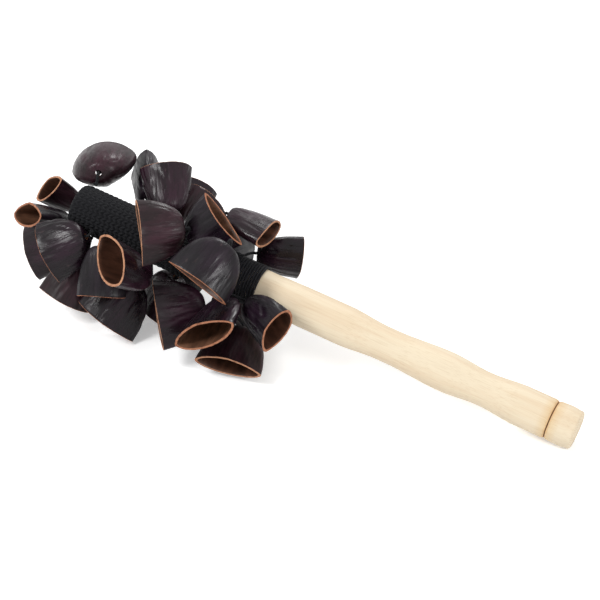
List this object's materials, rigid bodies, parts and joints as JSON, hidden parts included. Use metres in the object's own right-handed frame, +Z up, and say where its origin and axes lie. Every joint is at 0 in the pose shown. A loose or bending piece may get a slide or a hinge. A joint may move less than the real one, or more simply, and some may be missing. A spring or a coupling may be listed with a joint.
{
  "type": "stick shaker",
  "caption": "Hand-held shaker: a turned wooden stick with a knitted cord sleeve on its head, hung all round with halved nutshell cups on short ties.",
  "frame": {"origin": "middle of the bounding box, on the surface that the shaker lies on", "axes": "+X along the shaker towards the butt of the handle, +Z up; the stick leans down towards +X"},
  "size_m": [0.3912, 0.1392, 0.1056],
  "materials": {
    "pale_wood": "turned, satin",
    "knitted_cord": "knitted, matt",
    "wound_cord": "close turns, matt",
    "plaited_cord": "plaited, matt",
    "nutshell": "hard natural shell, satin",
    "tie_cord": "twisted, matt"
  },
  "bodies": {
    "handle": {"stick": "pale_wood", "knitted_sleeve": "knitted_cord", "handle_binding": "wound_cord", "plaited_cord": "plaited_cord"},
    "cup_01": {"nutshell_01": "nutshell", "tie_01": "tie_cord"},
    "cup_02": {"nutshell_02": "nutshell", "tie_02": "tie_cord"},
    "cup_03": {"nutshell_03": "nutshell", "tie_03": "tie_cord"},
    "cup_04": {"nutshell_04": "nutshell", "tie_04": "tie_cord"},
    "cup_05": {"nutshell_05": "nutshell", "tie_05": "tie_cord"},
    "cup_06": {"nutshell_06": "nutshell", "tie_06": "tie_cord"},
    "cup_07": {"nutshell_07": "nutshell", "tie_07": "tie_cord"},
    "cup_08": {"nutshell_08": "nutshell", "tie_08": "tie_cord"},
    "cup_09": {"nutshell_09": "nutshell", "tie_09": "tie_cord"},
    "cup_10": {"nutshell_10": "nutshell", "tie_10": "tie_cord"},
    "cup_11": {"nutshell_11": "nutshell", "tie_11": "tie_cord"},
    "cup_12": {"nutshell_12": "nutshell", "tie_12": "tie_cord"},
    "cup_13": {"nutshell_13": "nutshell", "tie_13": "tie_cord"},
    "cup_14": {"nutshell_14": "nutshell", "tie_14": "tie_cord"},
    "cup_15": {"nutshell_15": "nutshell", "tie_15": "tie_cord"},
    "cup_16": {"nutshell_16": "nutshell", "tie_16": "tie_cord"},
    "cup_17": {"nutshell_17": "nutshell", "tie_17": "tie_cord"},
    "cup_18": {"nutshell_18": "nutshell", "tie_18": "tie_cord"},
    "cup_19": {"nutshell_19": "nutshell", "tie_19": "tie_cord"},
    "cup_20": {"nutshell_20": "nutshell", "tie_20": "tie_cord"},
    "cup_21": {"nutshell_21": "nutshell", "tie_21": "tie_cord"},
    "cup_22": {"nutshell_22": "nutshell", "tie_22": "tie_cord"},
    "cup_23": {"nutshell_23": "nutshell", "tie_23": "tie_cord"},
    "cup_24": {"nutshell_24": "nutshell", "tie_24": "tie_cord"},
    "cup_25": {"nutshell_25": "nutshell", "tie_25": "tie_cord"},
    "cup_26": {"nutshell_26": "nutshell", "tie_26": "tie_cord"},
    "cup_27": {"nutshell_27": "nutshell", "tie_27": "tie_cord"}
  },
  "joints": [
    {"name": "cup_01_sway", "type": "hinge", "parent": "handle", "child": "cup_01", "pos_m": [-0.1433, 0.00449, 0.05836], "axis": [0.9853, 0, -0.1708], "range_deg": [-12, 12]},
    {"name": "cup_02_sway", "type": "hinge", "parent": "handle", "child": "cup_02", "pos_m": [-0.14395, -0.00114, 0.05461], "axis": [0.9853, 0, -0.1708], "range_deg": [-10, 10]},
    {"name": "cup_03_sway", "type": "hinge", "parent": "handle", "child": "cup_03", "pos_m": [-0.14414, -0.00524, 0.05353], "axis": [0.9853, 0, -0.1708], "range_deg": [-12, 4]},
    {"name": "cup_04_sway", "type": "hinge", "parent": "handle", "child": "cup_04", "pos_m": [-0.12715, -0.02417, 0.06716], "axis": [0.9853, 0, -0.1708], "range_deg": [-12, 8]},
    {"name": "cup_05_sway", "type": "hinge", "parent": "handle", "child": "cup_05", "pos_m": [-0.13493, -0.01348, 0.05291], "axis": [0.9853, 0, -0.1708], "range_deg": [-1, 12]},
    {"name": "cup_06_sway", "type": "hinge", "parent": "handle", "child": "cup_06", "pos_m": [-0.1151, -0.02409, 0.067], "axis": [0.9853, 0, -0.1708], "range_deg": [-5, 7]},
    {"name": "cup_07_sway", "type": "hinge", "parent": "handle", "child": "cup_07", "pos_m": [-0.08363, -0.02403, 0.06201], "axis": [0.9853, 0, -0.1708], "range_deg": [-1, 5]},
    {"name": "cup_08_sway", "type": "hinge", "parent": "handle", "child": "cup_08", "pos_m": [-0.09713, -0.01426, 0.04669], "axis": [-0.0695, 0.9135, -0.4008], "range_deg": [-12, 0]},
    {"name": "cup_09_sway", "type": "hinge", "parent": "handle", "child": "cup_09", "pos_m": [-0.13905, 0.00268, 0.0829], "axis": [0.9853, 0, -0.1708], "range_deg": [-10, 12]},
    {"name": "cup_10_sway", "type": "hinge", "parent": "handle", "child": "cup_10", "pos_m": [-0.11497, 0.00917, 0.06392], "axis": [0.9853, 0, -0.1708], "range_deg": [-6, 6]},
    {"name": "cup_11_sway", "type": "hinge", "parent": "handle", "child": "cup_11", "pos_m": [-0.09061, 0.00713, 0.06926], "axis": [0.9853, 0, -0.1708], "range_deg": [-6, 12]},
    {"name": "cup_12_sway", "type": "hinge", "parent": "handle", "child": "cup_12", "pos_m": [-0.09455, 0.00807, 0.05552], "axis": [0.9853, 0, -0.1708], "range_deg": [-12, 1]},
    {"name": "cup_13_sway", "type": "hinge", "parent": "handle", "child": "cup_13", "pos_m": [-0.08092, 0.00856, 0.05461], "axis": [0.1639, 0.2805, 0.9458], "range_deg": [-8, 5]},
    {"name": "cup_14_sway", "type": "hinge", "parent": "handle", "child": "cup_14", "pos_m": [-0.06204, -0.01549, 0.07096], "axis": [-0.082, -0.8771, -0.4732], "range_deg": [0, 9]},
    {"name": "cup_15_sway", "type": "hinge", "parent": "handle", "child": "cup_15", "pos_m": [-0.05338, 0.00307, 0.06774], "axis": [0.1078, -0.7757, 0.6218], "range_deg": [0, 10]},
    {"name": "cup_16_sway", "type": "hinge", "parent": "handle", "child": "cup_16", "pos_m": [-0.03863, 0.00918, 0.05326], "axis": [0.1703, -0.0723, 0.9827], "range_deg": [-12, 5]},
    {"name": "cup_17_sway", "type": "hinge", "parent": "handle", "child": "cup_17", "pos_m": [-0.07182, -0.0199, 0.06911], "axis": [-0.1271, -0.668, -0.7332], "range_deg": [-2, 2]},
    {"name": "cup_18_sway", "type": "hinge", "parent": "handle", "child": "cup_18", "pos_m": [-0.03622, -0.01412, 0.06717], "axis": [-0.068, -0.9173, -0.3923], "range_deg": [-3, 8]},
    {"name": "cup_19_sway", "type": "hinge", "parent": "handle", "child": "cup_19", "pos_m": [-0.04302, -0.02046, 0.04214], "axis": [0.9853, 0, -0.1708], "range_deg": [0, 12]},
    {"name": "cup_20_sway", "type": "hinge", "parent": "handle", "child": "cup_20", "pos_m": [-0.03915, -0.02407, 0.0503], "axis": [0.9853, 0, -0.1708], "range_deg": [-3, 0]},
    {"name": "cup_21_sway", "type": "hinge", "parent": "handle", "child": "cup_21", "pos_m": [-0.04154, -0.0129, 0.03651], "axis": [0.9853, 0, -0.1708], "range_deg": [-12, 12]},
    {"name": "cup_22_sway", "type": "hinge", "parent": "handle", "child": "cup_22", "pos_m": [-0.03844, -0.02401, 0.05437], "axis": [0.9853, 0, -0.1708], "range_deg": [-12, 12]},
    {"name": "cup_23_sway", "type": "hinge", "parent": "handle", "child": "cup_23", "pos_m": [-0.07682, -0.00656, 0.04173], "axis": [0.0093, 0.9985, 0.0538], "range_deg": [-12, 12]},
    {"name": "cup_24_sway", "type": "hinge", "parent": "handle", "child": "cup_24", "pos_m": [-0.08262, 0.0037, 0.04706], "axis": [0.1143, 0.7431, 0.6593], "range_deg": [-12, 12]},
    {"name": "cup_25_sway", "type": "hinge", "parent": "handle", "child": "cup_25", "pos_m": [-0.04147, -0.00095, 0.03693], "axis": [0.0667, 0.9205, 0.385], "range_deg": [0, 10]},
    {"name": "cup_26_sway", "type": "hinge", "parent": "handle", "child": "cup_26", "pos_m": [-0.054, 0.00719, 0.04659], "axis": [0.15, 0.4784, 0.8653], "range_deg": [-9, 8]},
    {"name": "cup_27_sway", "type": "hinge", "parent": "handle", "child": "cup_27", "pos_m": [-0.11994, 0.00111, 0.05159], "axis": [0.0878, 0.8577, 0.5066], "range_deg": [-12, 12]}
  ]
}
